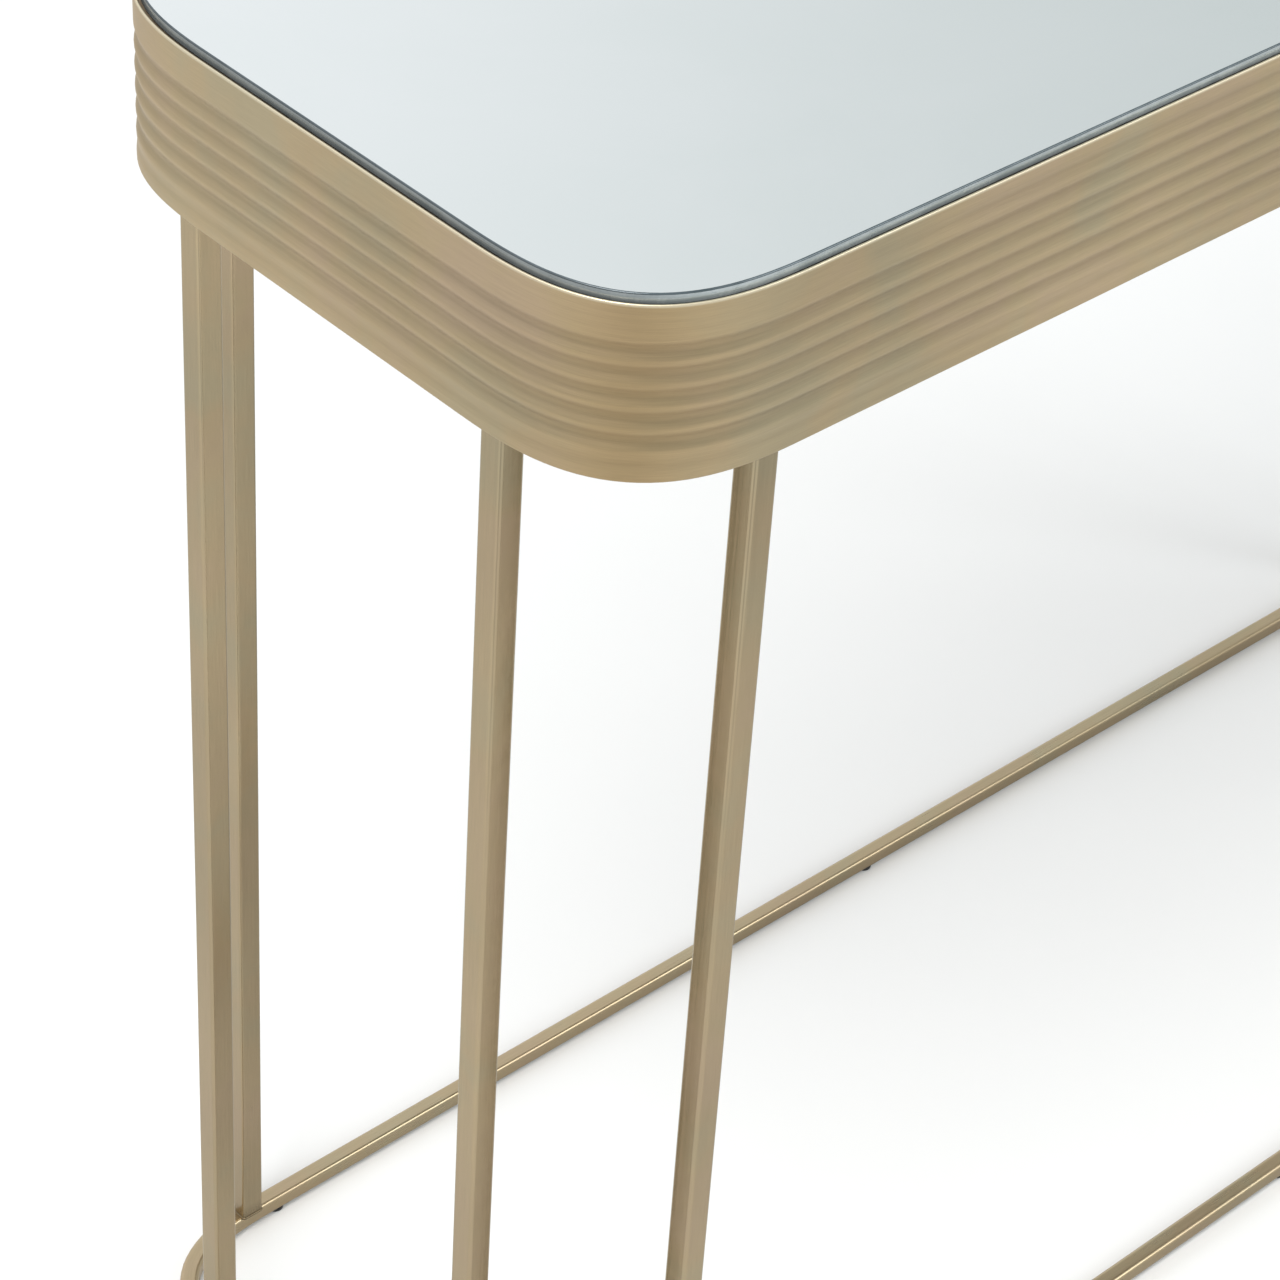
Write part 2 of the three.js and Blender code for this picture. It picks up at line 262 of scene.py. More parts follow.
def glass_edge(name, dark, light, rough):
    """Ground and polished rim of the pane: grey-green, with wheel marks along it."""
    n = Nodes(name)
    marks = n.noise(n.coords("UV", (30, 900, 1)), 1.0, 4.0, 0.6)
    cloud = n.noise(n.coords("Object", (1, 1, 1)), 45.0, 4.0, 0.6, 0.5)
    mixed = n.math("ADD", n.math("MULTIPLY", marks, 0.45), n.math("MULTIPLY", cloud, 0.55))
    # Painted shade: the pane's edge is darker on the faces that look along x, towards the table's ends.
    ends = n.add("ShaderNodeSeparateXYZ")
    n.link(n.add("ShaderNodeNewGeometry").outputs["Normal"], ends.inputs[0])
    end_faces_painted_shade = n.span(n.math("ABSOLUTE", ends.outputs["X"], 0.0), 0.35, 0.95, 1.0, 0.45)
    toned = n.ramp(mixed, [(0.36, dark), (0.64, light)])
    n.link(n.mix(1.0, toned, n.mix(0.0, end_faces_painted_shade, end_faces_painted_shade), "MULTIPLY"),
           n.shader.inputs["Base Color"])
    n.link(n.span(mixed, 0.3, 0.7, rough, rough + 0.15), n.shader.inputs["Roughness"])
    n.shader.inputs["Metallic"].default_value = 0.35
    n.shader.inputs["IOR"].default_value = 1.52
    n.shader.inputs["Coat Weight"].default_value = 0.4
    n.link(n.bump(mixed, 0.00015, 0.4), n.shader.inputs["Normal"])
    return n.mat


def fibreboard():
    """Raw pressed fibreboard: fine speckle and a felted surface."""
    n = Nodes("fibreboard")
    obj = n.coords("Object", (1, 1, 1))
    speck = n.noise(obj, 900.0, 4.0, 0.7)
    felt = n.noise(obj, 160.0, 5.0, 0.65)
    cloud = n.noise(obj, 9.0, 3.0, 0.5)
    base = n.ramp(felt, [(0.32, (0.23, 0.165, 0.105)), (0.68, (0.36, 0.275, 0.185))])
    dotted = n.mix(n.span(speck, 0.55, 0.75, 0.0, 0.5), base, (0.15, 0.10, 0.06))
    shade = n.span(cloud, 0.3, 0.7, 0.9, 1.07)
    n.link(n.mix(1.0, dotted, n.mix(0.0, shade, shade), "MULTIPLY"), n.shader.inputs["Base Color"])
    n.link(n.span(felt, 0.3, 0.7, 0.78, 0.92), n.shader.inputs["Roughness"])
    n.link(n.bump(felt, 0.0003, 0.5), n.shader.inputs["Normal"])
    return n.mat


def plain_steel(name, dark, light, rough):
    """Mill-finish steel: rolling grain and a little scale."""
    n = Nodes(name)
    obj = n.coords("Object", (1, 1, 1))
    grain = n.noise(n.coords("Object", (60, 900, 900)), 1.0, 4.0, 0.6)
    scale = n.noise(obj, 70.0, 5.0, 0.65, 0.3)
    base = n.ramp(scale, [(0.35, dark), (0.65, light)])
    shade = n.span(grain, 0.3, 0.7, 0.92, 1.06)
    edge = n.math("MULTIPLY", n.attribute("edge"), 0.4)
    toned = n.mix(1.0, base, n.mix(0.0, shade, shade), "MULTIPLY")
    n.link(n.mix(edge, toned, (0.5, 0.5, 0.5)), n.shader.inputs["Base Color"])
    n.link(n.span(scale, 0.3, 0.7, rough - 0.08, rough + 0.1), n.shader.inputs["Roughness"])
    n.shader.inputs["Metallic"].default_value = 0.9
    n.link(n.bump(scale, 0.00012, 0.5), n.shader.inputs["Normal"])
    return n.mat


def moulded(name, colour, rough):
    """Matte moulded plastic or cured mastic."""
    n = Nodes(name)
    obj = n.coords("Object", (1, 1, 1))
    grain = n.noise(obj, 1500.0, 3.0, 0.6)
    cloud = n.noise(obj, 120.0, 4.0, 0.6)
    lighter = tuple(min(1.0, 1.9 * c) for c in colour)
    n.link(n.ramp(cloud, [(0.35, colour), (0.7, lighter)]), n.shader.inputs["Base Color"])
    n.link(n.span(cloud, 0.3, 0.7, rough - 0.08, rough + 0.1), n.shader.inputs["Roughness"])
    n.link(n.bump(grain, 0.00005, 0.5), n.shader.inputs["Normal"])
    return n.mat


APRON_BRASS = brass("apron_brass", (0.462, 0.364, 0.226), (0.430, 0.360, 0.234),
                    (0.472, 0.364, 0.246), 0.40, 0.4)
# Painted shade: a darker copy of the apron's brass, for the legs and their weld beads.
TUBE_BRASS_SHADED = brass("tube_brass", (0.388, 0.306, 0.190), (0.364, 0.306, 0.197),
                   (0.396, 0.306, 0.199), 0.21, 0.2)
BASE_BRASS = brass("base_brass", (0.482, 0.384, 0.244), (0.460, 0.390, 0.258),
                   (0.492, 0.384, 0.256), 0.30, 0.2)
MIRROR = mirror_face()
# Painted shade and light: one glass edge in two tones, dark on the arris and pale on the side face.
GLASS_EDGE_SHADED = glass_edge("glass_arris_shaded", (0.042, 0.062, 0.072), (0.105, 0.132, 0.148), 0.14)
GLASS_EDGE_LIT = glass_edge("glass_side_lit", (0.27, 0.315, 0.330), (0.46, 0.505, 0.515), 0.20)
BOARD = fibreboard()
STEEL = plain_steel("support_steel", (0.13, 0.135, 0.14), (0.24, 0.245, 0.25), 0.45)
SCREW = plain_steel("screw_steel", (0.32, 0.31, 0.28), (0.50, 0.49, 0.46), 0.3)
GLIDE = moulded("glide_plastic", (0.016, 0.016, 0.017), 0.5)
MASTIC = moulded("mirror_mastic", (0.03, 0.03, 0.032), 0.7)


# ---- mesh helpers ------------------------------------------------------------------------------
def make_piece(name, verts, faces, mats, uvs=None, face_mats=None, edge=None, weld=None,
               groove=None, corner_shade_mask=None, replaces=()):
    mesh = bpy.data.meshes.new(name)
    mesh.from_pydata([tuple(v) for v in verts], [], faces)
    if uvs:
        layer = mesh.uv_layers.new(name="UVMap")
        flat = [c for face in uvs for uv in face for c in uv]
        layer.data.foreach_set("uv", flat)
    for mat in mats:
        mesh.materials.append(mat)
    if face_mats:
        mesh.polygons.foreach_set("material_index", face_mats)
    for label, values in (("edge", edge), ("weld", weld), ("groove", groove), ("corner_shade_mask", corner_shade_mask)):
        if values:
            layer = mesh.attributes.new(label, "FLOAT", "POINT")
            layer.data.foreach_set("value", values)
    mesh.polygons.foreach_set("use_smooth", [True] * len(mesh.polygons))
    mesh.update()
    mesh.validate()
    piece = bpy.data.objects.new(name, mesh)
    bpy.context.scene.collection.objects.link(piece)
    weighted = piece.modifiers.new("face weighted normals", "WEIGHTED_NORMAL")
    weighted.weight = 100
    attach(piece, "root")
    if replaces:
        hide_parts(*replaces)
    return piece


def centre_of(low, high):
    return (low.x + high.x) / 2, (low.y + high.y) / 2


def path_lengths(points):
    """Distance of each point along a closed path in plan, and the whole way round at the end."""
    total, out = 0.0, [0.0]
    for a, b in zip(points, points[1:] + points[:1]):
        total += (Vector(b[:2]) - Vector(a[:2])).length
        out.append(total)
    return out


def sweep(profile, stations, place):
    """Verts, faces and UVs of a closed profile carried round closed stations; UV is (along, across)."""
    n, m = len(profile), len(stations)
    verts = [place(s, p) for s in stations for p in profile]
    across, along = path_lengths(profile), path_lengths(stations)
    faces, uvs = [], []
    for k in range(m):
        k2 = (k + 1) % m
        for i in range(n):
            j = (i + 1) % n
            faces.append((k * n + i, k2 * n + i, k2 * n + j, k * n + j))
            uvs.append(((along[k], across[i]), (along[k + 1], across[i]),
                        (along[k + 1], across[i + 1]), (along[k], across[i + 1])))
    return verts, faces, uvs


def flip_if_inside_out(verts, faces, uvs):
    volume = 0.0
    for f in faces:
        a = Vector(verts[f[0]])
        for i in range(1, len(f) - 1):
            volume += a.dot(Vector(verts[f[i]]).cross(Vector(verts[f[i + 1]])))
    if volume < 0:
        faces = [tuple(reversed(f)) for f in faces]
        uvs = [tuple(reversed(uv)) for uv in uvs]
    return faces, uvs


def outline(corner_steps, gap):
    """Stations (x, y, inward x, inward y) round the whole table, anticlockwise from above."""
    out = []
    quarters = [(1, 1), (-1, 1), (-1, -1), (1, -1)]
    for q, (sx, sy) in enumerate(quarters):
        run = []
        for i in range(corner_steps + 1):
            a = i / corner_steps * math.pi / 2
            c, s = max(0.0, math.cos(a)), math.sin(a)
            if i == corner_steps:
                c, s = 0.0, 1.0
            reach = (c ** CORNER_POWER + s ** CORNER_POWER) ** (1 / CORNER_POWER)
            u, v = c / reach, s / reach
            g = Vector((u ** (CORNER_POWER - 1), v ** (CORNER_POWER - 1))).normalized()
            run.append((sx * (STRAIGHT_X + CORNER_R * u), sy * (STRAIGHT_Y + CORNER_R * v),
                        -sx * g.x, -sy * g.y))
        if sx * sy < 0:
            run.reverse()
        out += run
        nx, ny = quarters[(q + 1) % 4]
        last = run[-1]
        length = 2 * (STRAIGHT_X if nx != sx else STRAIGHT_Y)
        count = int(length / gap)
        dx, dy = (nx - sx) / 2, (ny - sy) / 2
        for i in range(1, count):
            t = length * i / count
            out.append((last[0] + dx * t, last[1] + dy * t, last[2], last[3]))
    return out


def rounded_square(size, radius, steps):
    half = size / 2 - radius
    out = []
    for q, (cx, cy) in enumerate(((half, half), (-half, half), (-half, -half), (half, -half))):
        for i in range(steps + 1):
            a = (q + i / steps) * math.pi / 2
            out.append((cx + radius * math.cos(a), cy + radius * math.sin(a)))
    return out


def wobble(x, y, z, scale, seed):
    return noise.noise(Vector((x * scale + seed, y * scale - seed, z * scale + 3.7 * seed)))


# ---- apron -------------------------------------------------------------------------------------
def rib_dip(down):
    """Groove depth at a distance below the rim. Below zero is the top groove, faded by place."""
    t = (down - RIB_START) / RIB_PITCH
    if -1 < t < 0:
        return -RIB_DEPTH * TOP_GROOVE * (1 - math.cos(2 * math.pi * t)) / 2
    if t <= 0 or t >= RIB_COUNT + 1:
        return 0.0
    depth = RIB_DEPTH if t < RIB_COUNT else RIB_DEPTH * LAST_DIP
    return depth * (1 - math.cos(2 * math.pi * t)) / 2


def top_groove_fade(x, y):
    """0 round the corners and on the ends, 1 along the long sides."""
    if abs(y) < STRAIGHT_Y + CORNER_R * 0.9:
        return 0.0
    t = min(1.0, max(0.0, (STRAIGHT_X - abs(x) - TOP_GROOVE_START) / TOP_GROOVE_RUN))
    return t * t * (3 - 2 * t)


def make_apron():
    steps_down = 96
    round_r = SHEET / 2
    outer = []
    for i in range(steps_down + 1):
        down = round_r + (APRON_H - 2 * round_r) * i / steps_down
        outer.append((rib_dip(down), -down))
    inner = [(max(u, 0.0) + SHEET, z) for u, z in outer[::3]][::-1]
    cap = 6

    def arc(z, start):
        return [(round_r + round_r * math.cos(start + math.pi * i / cap),
                 z + round_r * math.sin(start + math.pi * i / cap)) for i in range(1, cap)]

    top = arc(-round_r, 0.0)  # from the inner face over the rim to the outer face
    foot = arc(-APRON_H + round_r, math.pi)
    profile = outer + foot + inner + top
    stations = outline(36, STATION_GAP)

    def place(s, p):
        x, y, nx, ny = s
        down = -p[1] / APRON_H
        lean = 0.16 * MM * wobble(x, y, 0, 9, 1.3) + 0.10 * MM * wobble(x, y, p[1], 22, 5.1)
        sway = 0.35 * MM * wobble(x, y, 0, 7, 9.2) * math.sin(math.pi * min(1, max(0, down)))
        dip = p[0] if p[0] >= 0 else -p[0] * top_groove_fade(x, y)
        u = dip + max(0.0, 0.12 * MM + lean)
        return (x + nx * u, y + ny * u, RIM_Z + p[1] + sway)

    verts, faces, uvs = sweep(profile, stations, place)
    faces, uvs = flip_if_inside_out(verts, faces, uvs)
    # Painted highlight along the apron's rim.
    rim = {len(profile) - 1 - i for i in range(len(top))} | {0}
    edge = [1.0 if i % len(profile) in rim else 0.0 for i in range(len(verts))]
    # Groove depth, which also sets the painted shade in the grooves.
    dips = [rib_dip(-z) / RIB_DEPTH if i <= steps_down else 0.0
            for i, (_, z) in enumerate(profile)]
    groove = [d if d >= 0 else -d * top_groove_fade(s[0], s[1]) for s in stations for d in dips]
    # Painted shade round the corners, strongest at the middle of each bend.
    turned = [(2 * abs(s[2] * s[3])) ** 2 for s in stations]
    corner_shade_mask = [t for t in turned for _ in profile]
    make_piece("ribbed_apron", verts, faces, [APRON_BRASS], uvs, edge=edge, groove=groove,
               corner_shade_mask=corner_shade_mask,
               replaces=["apron_" + s for s in ("front", "back", "left", "right")]
               + ["apron_corner_" + c for c in CORNERS])



# ---- tubes -------------------------------------------------------------------------------------
def tube_edge_values(profile_len, steps, rings):
    """Painted highlight along the tube's edges: 1 on the middle of each rounded corner of the tube,
    scaled by the highlight strength, falling to 0 on its flats.
    """
    values = []
    for _ in range(rings):
        for i in range(profile_len):
            t = (i % (steps + 1)) / steps
            values.append(TUBE_EDGE_HIGHLIGHT * math.sin(math.pi * t) if 0 < t < 1 else 0.0)
    return values


def make_base_ring():
    steps = 6
    profile = rounded_square(RING, RING_ROUND, steps)
    stations = outline(28, STATION_GAP)
    mid_z = (RAIL_LOW.z + RAIL_HIGH.z) / 2

    def place(s, p):
        x, y, nx, ny = s
        u = TUBE_MID + p[0] + 0.12 * MM * wobble(x, y, 0, 6, 2.4)
        return (x + nx * u, y + ny * u, mid_z + p[1])

    verts, faces, uvs = sweep(profile, stations, place)
    faces, uvs = flip_if_inside_out(verts, faces, uvs)
    make_piece("base_ring", verts, faces, [BASE_BRASS], uvs,
               replaces=["base_rail_" + s for s in ("front", "back", "left", "right")]
               + ["base_corner_" + c for c in CORNERS])


def make_leg(node):
    low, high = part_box(node)
    cx, cy = centre_of(low, high)
    steps = 6
    profile = rounded_square(TUBE, TUBE_ROUND, steps)
    count = len(profile)
    heights = [low.z, low.z + 1.5 * MM, low.z + 4 * MM, low.z + 9 * MM]
    rows = 24
    heights += [low.z + 9 * MM + (high.z - low.z - 9 * MM) * i / rows for i in range(1, rows + 1)]
    verts, weld = [], []
    for z in heights:
        lean = (z - low.z) / (high.z - low.z)
        dx = 0.35 * MM * wobble(cx, cy, z, 2.5, 4.4) * math.sin(math.pi * lean)
        dy = 0.35 * MM * wobble(cx, cy, z, 2.5, 8.8) * math.sin(math.pi * lean)
        for px, py in profile:
            verts.append((cx + px + dx, cy + py + dy, z))
            # Weld burn and painted shade, darkest at the leg's foot on the ring and gone 8 mm up.
            weld.append(max(0.0, 1 - (z - low.z) / (8 * MM)) * 0.55)
    across = path_lengths(profile)
    faces, uvs = [], []
    for k in range(len(heights) - 1):
        for i in range(count):
            j = (i + 1) % count
            faces.append((k * count + i, k * count + j, (k + 1) * count + j, (k + 1) * count + i))
            uvs.append(((heights[k], across[i]), (heights[k], across[i + 1]),
                        (heights[k + 1], across[i + 1]), (heights[k + 1], across[i])))
    top = (len(heights) - 1) * count
    faces += [tuple(reversed(range(count))), tuple(range(top, top + count))]
    uvs += [tuple((p[0], p[1]) for p in reversed(profile)), tuple((p[0], p[1]) for p in profile)]
    make_piece(node + "_tube", verts, faces, [TUBE_BRASS_SHADED], uvs,
               edge=tube_edge_values(count, steps, len(heights)), weld=weld,
               replaces=[node])
    make_weld_bead(node + "_foot_weld", cx, cy, low.z, 0.75 * MM)
    make_weld_bead(node + "_head_weld", cx, cy, high.z, 0.9 * MM)


def make_weld_bead(name, cx, cy, z, radius):
    """A thin uneven bead of weld round a tube's end."""
    loop = rounded_square(TUBE, TUBE_ROUND, 5)
    dense = []
    for (x0, y0), (x1, y1) in zip(loop, loop[1:] + loop[:1]):
        parts = max(1, int(math.hypot(x1 - x0, y1 - y0) / (0.7 * MM)))
        dense += [(x0 + (x1 - x0) * i / parts, y0 + (y1 - y0) * i / parts) for i in range(parts)]
    around = 8
    verts = []
    for x, y in dense:
        out = Vector((x, y)).normalized()
        r = radius * (0.85 + 0.5 * abs(wobble(cx + x, cy + y, z, 420, 6.6)))
        for i in range(around):
            a = 2 * math.pi * i / around
            verts.append((cx + x + out.x * r * (math.cos(a) - 0.3),
                          cy + y + out.y * r * (math.cos(a) - 0.3), z + r * math.sin(a)))
    n, m = around, len(dense)
    faces = [(k * n + i, ((k + 1) % m) * n + i, ((k + 1) % m) * n + (i + 1) % n,
              k * n + (i + 1) % n) for k in range(m) for i in range(n)]
    uvs = [((k * 0.001, i * 0.001),) * 4 for k in range(m) for i in range(n)]
    faces, uvs = flip_if_inside_out(verts, faces, uvs)
    make_piece(name, verts, faces, [TUBE_BRASS_SHADED], uvs, weld=[0.7] * len(verts))


# ---- flat plates: pane and board ---------------------------------------------------------------
def make_plate(name, node, inset, arris, mats, corner_steps=36):
    """A flat plate on the table's outline. mats: flat faces, arris, side."""
    low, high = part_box(node)
    stations = outline(corner_steps, STATION_GAP)
    arc = 4
    profile = []
    for i in range(arc + 1):
        a = math.pi / 2 * i / arc
        profile.append((inset + arris * (1 - math.sin(a)), low.z + arris * (1 - math.cos(a))))
    for i in range(arc + 1):
        a = math.pi / 2 * i / arc
        profile.append((inset + arris * (1 - math.cos(a)), high.z - arris * (1 - math.sin(a))))
    n, m = len(profile), len(stations)
    verts = [(x + nx * u, y + ny * u, z) for x, y, nx, ny in stations for u, z in profile]
    along = path_lengths(stations)
    faces, uvs, face_mats = [], [], []
    for k in range(m):
        k2 = (k + 1) % m
        for i in range(n - 1):
            faces.append((k * n + i, k2 * n + i, k2 * n + i + 1, k * n + i + 1))
            uvs.append(((along[k], profile[i][1]), (along[k + 1], profile[i][1]),
                        (along[k + 1], profile[i + 1][1]), (along[k], profile[i + 1][1])))
            face_mats.append(2 if i == arc else 1)
    faces.append(tuple(k * n + n - 1 for k in range(m)))
    faces.append(tuple(k * n for k in reversed(range(m))))
    uvs += [tuple((verts[i][0], verts[i][1]) for i in f) for f in faces[-2:]]
    face_mats += [0, 0]
    make_piece(name, verts, faces, mats, uvs, face_mats, replaces=[node])


# ---- bars, screws, glides, pads ----------------------------------------------------------------
def make_bar(node):
    low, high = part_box(node)
    r = 0.6 * MM
    profile = []
    centres = ((high.x - r, high.y - r), (low.x + r, high.y - r),
               (low.x + r, low.y + r), (high.x - r, low.y + r))
    for q, (cx, cy) in enumerate(centres):
        for i in range(5):
            a = (q + i / 4) * math.pi / 2
            profile.append((cx, cy, math.cos(a), math.sin(a)))
    rings = [(r * 0.3, low.z), (r * 0.75, low.z + r * 0.25), (r, low.z + r * 0.8),
             (r, high.z - r * 0.8), (r * 0.75, high.z - r * 0.25), (r * 0.3, high.z)]
    verts = [(cx + rr * c, cy + rr * s, z) for rr, z in rings for cx, cy, c, s in profile]
    n = len(profile)
    faces = [(k * n + i, k * n + (i + 1) % n, (k + 1) * n + (i + 1) % n, (k + 1) * n + i)
             for k in range(len(rings) - 1) for i in range(n)]
    faces += [tuple(reversed(range(n))), tuple(range((len(rings) - 1) * n, len(rings) * n))]
    edge = [1.0 if k in (1, 4) else 0.3 for k in range(len(rings)) for _ in range(n)]
    make_piece(node + "_flat", verts, faces, [STEEL], edge=edge,
               replaces=[node])


def lathe(profile, steps, cx, cy):
    """Verts and faces of a profile of (radius, z) that starts and ends on the axis."""
    rings = profile[1:-1]
    verts = [(cx, cy, profile[0][1])]
    for r, z in rings:
        verts += [(cx + r * math.cos(2 * math.pi * i / steps),
                   cy + r * math.sin(2 * math.pi * i / steps), z) for i in range(steps)]
    verts.append((cx, cy, profile[-1][1]))
    faces = []
    for i in range(steps):
        j = (i + 1) % steps
        faces.append((0, 1 + j, 1 + i))
        for k in range(len(rings) - 1):
            a, b = 1 + k * steps, 1 + (k + 1) * steps
            faces.append((a + i, a + j, b + j, b + i))
        last = 1 + (len(rings) - 1) * steps
        faces.append((last + i, last + j, len(verts) - 1))
    return verts, faces


def make_screw(node):
    """Pan-head screw, head down, with a cross recess cut by a boolean that is then applied."""
    low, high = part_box(node)
    cx, cy = centre_of(low, high)
    r, head = (high.x - low.x) / 2, SCREW_HEAD_T
    seat = low.z + head
    profile = [(0, low.z), (0.35 * r, low.z + 0.02 * head), (0.62 * r, low.z + 0.10 * head),
               (0.83 * r, low.z + 0.28 * head), (0.96 * r, low.z + 0.58 * head),
               (r, low.z + 0.85 * head), (0.985 * r, seat), (0.44 * r, seat)]
    turns = 6
    for i in range(turns * 2):
        z = seat + 0.6 * MM + i * (high.z - seat - 2.2 * MM) / (turns * 2)
        profile.append(((0.44 if i % 2 == 0 else 0.34) * r, z))
    profile += [(0.2 * r, high.z - 0.8 * MM), (0, high.z)]
    verts, faces = lathe(profile, 28, cx, cy)
    edge = [0.0] * len(verts)
    piece = make_piece(node + "_crosshead", verts, faces, [SCREW], edge=edge,
                       replaces=[node])
    cut_cross(piece, cx, cy, low.z, 0.52 * r, 0.09 * r, 0.62 * head)


def cut_cross(piece, cx, cy, z, reach, half, depth):
    outer = [(reach, half), (half, half), (half, reach), (-half, reach), (-half, half),
             (-reach, half), (-reach, -half), (-half, -half), (-half, -reach), (half, -reach),
             (half, -half), (reach, -half)]
    mesh = bpy.data.meshes.new("cross_cutter")
    verts = [(cx + x, cy + y, z - 0.5 * MM) for x, y in outer]
    verts += [(cx + 0.62 * x, cy + 0.62 * y, z + depth) for x, y in outer]
    n = len(outer)
    faces = [tuple(reversed(range(n))), tuple(range(n, 2 * n))]
    faces += [(i, (i + 1) % n, n + (i + 1) % n, n + i) for i in range(n)]
    mesh.from_pydata(verts, [], faces)
    cutter = bpy.data.objects.new("cross_cutter", mesh)
    bpy.context.scene.collection.objects.link(cutter)
    cut = piece.modifiers.new("cross recess", "BOOLEAN")
    cut.operation, cut.object, cut.solver = "DIFFERENCE", cutter, "EXACT"
    graph = bpy.context.evaluated_depsgraph_get()
    done = bpy.data.meshes.new_from_object(piece.evaluated_get(graph))
    piece.modifiers.clear()
    piece.data = done
    bpy.data.objects.remove(cutter)


def make_glide(node):
    low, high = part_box(node)
    cx, cy = centre_of(low, high)
    r, h = (high.x - low.x) / 2, high.z - low.z
    profile = [(0, low.z), (0.78 * r, low.z), (0.9 * r, low.z + 0.04 * h),
               (0.97 * r, low.z + 0.16 * h), (r, low.z + 0.36 * h), (r, low.z + 0.8 * h),
               (0.97 * r, high.z), (0, high.z)]
    verts, faces = lathe(profile, 32, cx, cy)
    make_piece(node + "_disc", verts, faces, [GLIDE], replaces=[node])


def make_pad(node):
    low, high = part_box(node)
    cx, cy = centre_of(low, high)
    r, h = (high.x - low.x) / 2, high.z - low.z
    profile = [(0, low.z), (0.93 * r, low.z), (0.985 * r, low.z + 0.25 * h), (r, low.z + 0.5 * h),
               (0.985 * r, low.z + 0.75 * h), (0.93 * r, high.z), (0, high.z)]
    verts, faces = lathe(profile, 40, cx, cy)
    shaped = []
    for x, y, z in verts:
        k = 1 - 0.05 * abs(wobble(x, y, 0, 60, 3.3))
        shaped.append((cx + (x - cx) * k, cy + (y - cy) * k, z))
    make_piece(node + "_mastic", shaped, faces, [MASTIC], replaces=[node])


make_apron()
make_base_ring()
for node in sorted(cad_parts):
    if node.startswith("leg_"):
        make_leg(node)
    elif node.startswith(("support_bar_", "cross_bar_")):
        make_bar(node)
    elif node.startswith("board_screw_"):
        make_screw(node)
    elif node.startswith("glide_"):
        make_glide(node)
    elif node.startswith("mirror_pad_"):
        make_pad(node)
make_plate("mirror_pane", "mirror_glass", HALF_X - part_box("mirror_glass")[1].x, 0.7 * MM,
           [MIRROR, GLASS_EDGE_SHADED, GLASS_EDGE_LIT])
make_plate("fibre_board", "backing_board", HALF_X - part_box("backing_board")[1].x, 0.5 * MM,
           [BOARD, BOARD, BOARD], corner_steps=20)


# ---- studio ------------------------------------------------------------------------------------
FLOOR_RADIUS = 30.0
FLOOR_DROP = 0.3 * MM  # below the glides, so that their undersides don't share its plane
CARD_RADIUS, CARD_LIFT = 4.0, 1 * MM
CARD_WHITE = (0.76, 0.755, 0.745)
# Painted shadows that only reflections see: under the table, and off its corners.
# centre, reach in x and y, share of the reach that is darkest, and brightness there
CARD_PAINTED_SHADOWS = (((0.0, 0.0), (0.66, 0.34), 0.45, 0.80),
                ((0.0, 0.0), (1.00, 0.66), 0.40, 0.92),
                ((-1.22, -0.84), (0.60, 0.52), 0.15, 0.62),
                ((0.55, -0.86), (0.75, 0.50), 0.15, 0.66),
                ((1.22, 0.84), (0.60, 0.52), 0.15, 0.62))
LIT_SIDE, DIM_SIDE = (0.93, 0.94, 0.955), (0.64, 0.675, 0.675)
DIM_DIRECTION = (0.72, -0.69, 0.0)
WORLD_STRENGTH = 1.14


def stage_disc(name, radius, z, mat, camera=True):
    steps = 96
    verts = [(radius * math.cos(2 * math.pi * i / steps),
              radius * math.sin(2 * math.pi * i / steps), z) for i in range(steps)]
    mesh = bpy.data.meshes.new(name)
    mesh.from_pydata(verts, [], [tuple(range(steps))])
    mesh.materials.append(mat)
    disc = bpy.data.objects.new(name, mesh)
    bpy.context.scene.collection.objects.link(disc)
    if not camera:
        disc.visible_camera = False
        disc.visible_diffuse = False
        disc.visible_shadow = False


def floor_paper():
    n = Nodes("floor_paper")
    cloud = n.noise(n.coords("Object", (1, 1, 1)), 2.0, 3.0, 0.5)
    n.link(n.ramp(cloud, [(0.3, (0.86, 0.86, 0.855)), (0.7, (0.88, 0.88, 0.876))]),
           n.shader.inputs["Base Color"])
    n.shader.inputs["Roughness"].default_value = 0.9
    n.shader.inputs["Specular IOR Level"].default_value = 0.1
    return n.mat


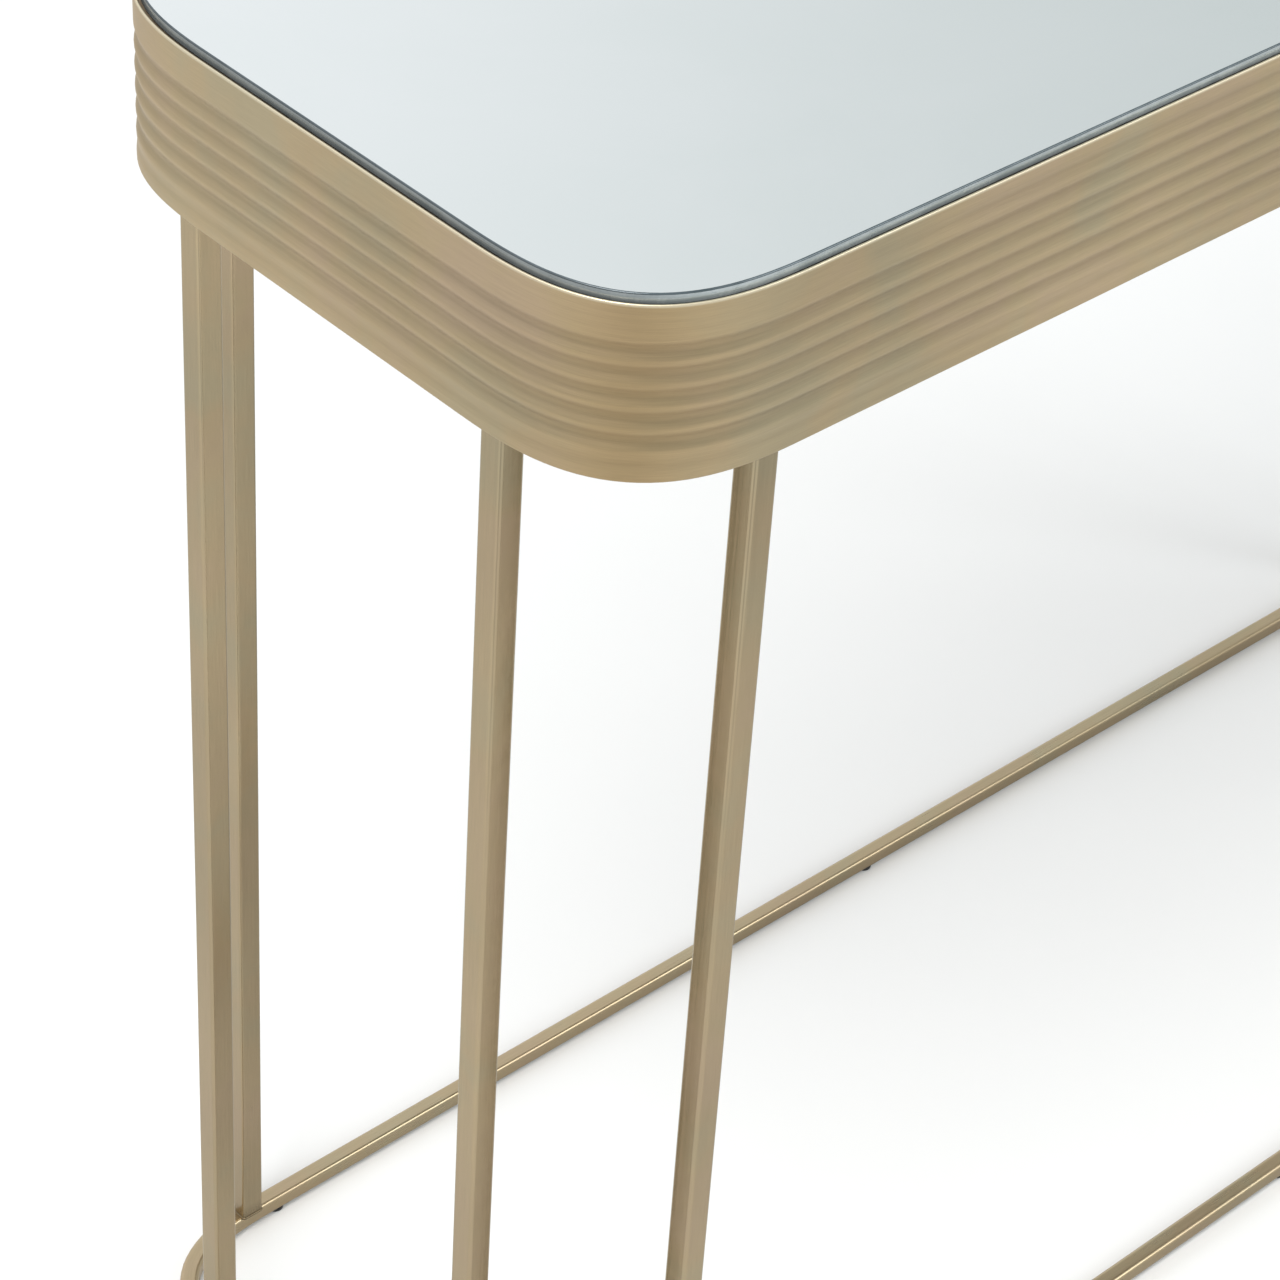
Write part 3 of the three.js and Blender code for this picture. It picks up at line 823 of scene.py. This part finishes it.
def reflection_card():
    """Grey patches on the floor that only reflections see, as a studio's flags would give: painted
    shadow under the table and painted dark zones off its corners.
    """
    n = Nodes("reflection_card")
    tc = n.add("ShaderNodeTexCoord")
    shade = None
    for centre, reach, inner, brightness in CARD_PAINTED_SHADOWS:
        mapping = n.add("ShaderNodeMapping", vector_type="TEXTURE")
        mapping.inputs["Location"].default_value = (*centre, 0)
        mapping.inputs["Scale"].default_value = (*reach, 1)
        n.link(tc.outputs["Object"], mapping.inputs["Vector"])
        far = n.add("ShaderNodeVectorMath", operation="LENGTH")
        n.link(mapping.outputs["Vector"], far.inputs[0])
        patch = n.add("ShaderNodeMapRange", interpolation_type="SMOOTHSTEP")
        for key, v in (("From Min", inner), ("From Max", 1.0),
                       ("To Min", brightness), ("To Max", 1.0)):
            patch.inputs[key].default_value = v
        n.link(far.outputs["Value"], patch.inputs["Value"])
        result = patch.outputs["Result"]
        shade = result if shade is None else n.math("MULTIPLY", shade, result)
    n.link(n.mix(1.0, CARD_WHITE, n.mix(0.0, shade, shade), "MULTIPLY"),
           n.shader.inputs["Base Color"])
    n.shader.inputs["Roughness"].default_value = 0.9
    n.shader.inputs["Specular IOR Level"].default_value = 0.0
    stage_disc("reflection_card", CARD_RADIUS, CARD_LIFT, n.mat, camera=False)


def area_light(name, place, aim, size, power, colour):
    light = bpy.data.lights.new(name, "AREA")
    light.shape, light.size, light.energy, light.color = "DISK", size, power, colour
    lamp = bpy.data.objects.new(name, light)
    lamp.location = place
    lamp.rotation_mode = "QUATERNION"
    lamp.rotation_quaternion = (Vector(aim) - Vector(place)).to_track_quat("-Z", "Y")
    bpy.context.scene.collection.objects.link(lamp)


def studio_world():
    """Pale all round, and greyer towards DIM_DIRECTION, which the mirror top shows as a gradient."""
    world = bpy.data.worlds.new("studio")
    world.use_nodes = True
    tree = world.node_tree
    tc = tree.nodes.new("ShaderNodeTexCoord")
    dot = tree.nodes.new("ShaderNodeVectorMath")
    dot.operation = "DOT_PRODUCT"
    dot.inputs[1].default_value = DIM_DIRECTION
    tree.links.new(tc.outputs["Generated"], dot.inputs[0])
    span = tree.nodes.new("ShaderNodeMapRange")
    span.interpolation_type = "SMOOTHSTEP"
    for key, v in (("From Min", -0.16), ("From Max", 0.20), ("To Min", 0.0), ("To Max", 1.0)):
        span.inputs[key].default_value = v
    tree.links.new(dot.outputs["Value"], span.inputs["Value"])
    ramp = tree.nodes.new("ShaderNodeValToRGB")
    for element, colour in zip(ramp.color_ramp.elements, (LIT_SIDE, DIM_SIDE)):
        element.color = (*colour, 1)
    tree.links.new(span.outputs["Result"], ramp.inputs["Fac"])
    back = tree.nodes["Background"]
    tree.links.new(ramp.outputs["Color"], back.inputs["Color"])
    back.inputs["Strength"].default_value = WORLD_STRENGTH
    bpy.context.scene.world = world


bpy.context.scene.view_settings.view_transform = "Standard"
stage_disc("floor", FLOOR_RADIUS, -FLOOR_DROP, floor_paper())
reflection_card()
area_light("key_softbox", (-1.9, -0.6, 2.9), (-0.2, 0.0, 0.4), 1.8, 56, (1.0, 0.985, 0.96))
area_light("fill_softbox", (1.6, -2.6, 2.4), (0.0, 0.0, 0.4), 2.0, 33, (0.97, 0.985, 1.0))
studio_world()
